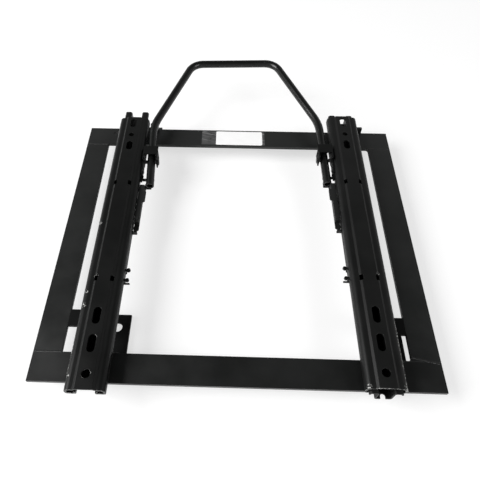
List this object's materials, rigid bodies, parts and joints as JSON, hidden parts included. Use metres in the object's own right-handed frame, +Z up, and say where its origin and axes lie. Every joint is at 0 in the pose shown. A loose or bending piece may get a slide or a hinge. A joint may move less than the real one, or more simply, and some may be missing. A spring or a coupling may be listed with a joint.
{
  "type": "seat slide rail set",
  "caption": "Sliding seat rails on a flat bar floor frame, with a bent lift bar at the front that frees the lock levers on the rails.",
  "frame": {"origin": "on the floor, under the middle of the whole part", "axes": "+X across the seat to the right, +Y forward to the lift bar, +Z up"},
  "size_m": [0.44, 0.5213, 0.0701],
  "materials": {
    "black_paint": "satin",
    "dark_steel": "satin",
    "nylon": "matt",
    "bearing_steel": "polished",
    "sticker": "matt",
    "clear_tape": "gloss"
  },
  "bodies": {
    "base": {"front_bar": "black_paint", "rear_bar": "black_paint", "side_bar_left": "black_paint", "side_bar_right": "black_paint", "support_left": "black_paint", "support_right": "black_paint", "front_foot_left": "black_paint", "front_foot_right": "black_paint", "rear_foot_left": "black_paint", "rear_foot_right": "black_paint", "label": "sticker", "label_tape": "clear_tape", "lower_rail_left": "black_paint", "lower_rail_right": "black_paint", "rail_rivets_left": "dark_steel", "rail_rivets_right": "dark_steel"},
    "upper_left": {"upper_rail_left": "black_paint", "bar_bracket_left": "black_paint", "bracket_rivets_left": "dark_steel", "bar_pin_left": "dark_steel", "torsion_rod_left": "dark_steel"},
    "upper_right": {"upper_rail_right": "black_paint", "bar_bracket_right": "black_paint", "bracket_rivets_right": "dark_steel", "bar_pin_right": "dark_steel", "torsion_rod_right": "dark_steel"},
    "lift": {"lift_bar": "black_paint", "stop_studs": "dark_steel"},
    "lever_left": {"lock_lever_left": "black_paint"},
    "lever_right": {"lock_lever_right": "black_paint"},
    "cages_left": {"ball_cages_left": "nylon", "rail_balls_left": "bearing_steel"},
    "cages_right": {"ball_cages_right": "nylon", "rail_balls_right": "bearing_steel"}
  },
  "joints": [
    {"name": "slide_left", "type": "slide", "parent": "base", "child": "upper_left", "axis": [0, 1, 0], "range_m": [-0.07, 0.07]},
    {"name": "slide_right", "type": "slide", "parent": "base", "child": "upper_right", "axis": [0, 1, 0], "range_m": [-0.07, 0.07]},
    {"name": "cages_left_roll", "type": "slide", "parent": "base", "child": "cages_left", "axis": [0, 1, 0], "range_m": [-0.035, 0.035]},
    {"name": "cages_right_roll", "type": "slide", "parent": "base", "child": "cages_right", "axis": [0, 1, 0], "range_m": [-0.035, 0.035]},
    {"name": "bar_lift", "type": "hinge", "parent": "upper_left", "child": "lift", "pos_m": [0, 0.06236, 0.0445], "axis": [0.9991, 0.042, 0], "range_deg": [0, 4], "stiffness_Nm_per_rad": 2, "springref_deg": -5.73},
    {"name": "lever_left_turn", "type": "hinge", "parent": "upper_left", "child": "lever_left", "pos_m": [-0.132, -0.02289, 0.0365], "axis": [0, 1, 0], "range_deg": [0, 10]},
    {"name": "lever_right_turn", "type": "hinge", "parent": "upper_right", "child": "lever_right", "pos_m": [0.132, -0.0129, 0.0365], "axis": [0, -1, 0], "range_deg": [0, 10]}
  ],
  "couplings": [
    {"joint": "slide_right", "follows": "slide_left", "ratio": 1},
    {"joint": "cages_left_roll", "follows": "slide_left", "ratio": 0.5},
    {"joint": "cages_right_roll", "follows": "slide_left", "ratio": 0.5},
    {"joint": "lever_left_turn", "follows": "bar_lift", "ratio": 2.5},
    {"joint": "lever_right_turn", "follows": "bar_lift", "ratio": 2.5}
  ]
}
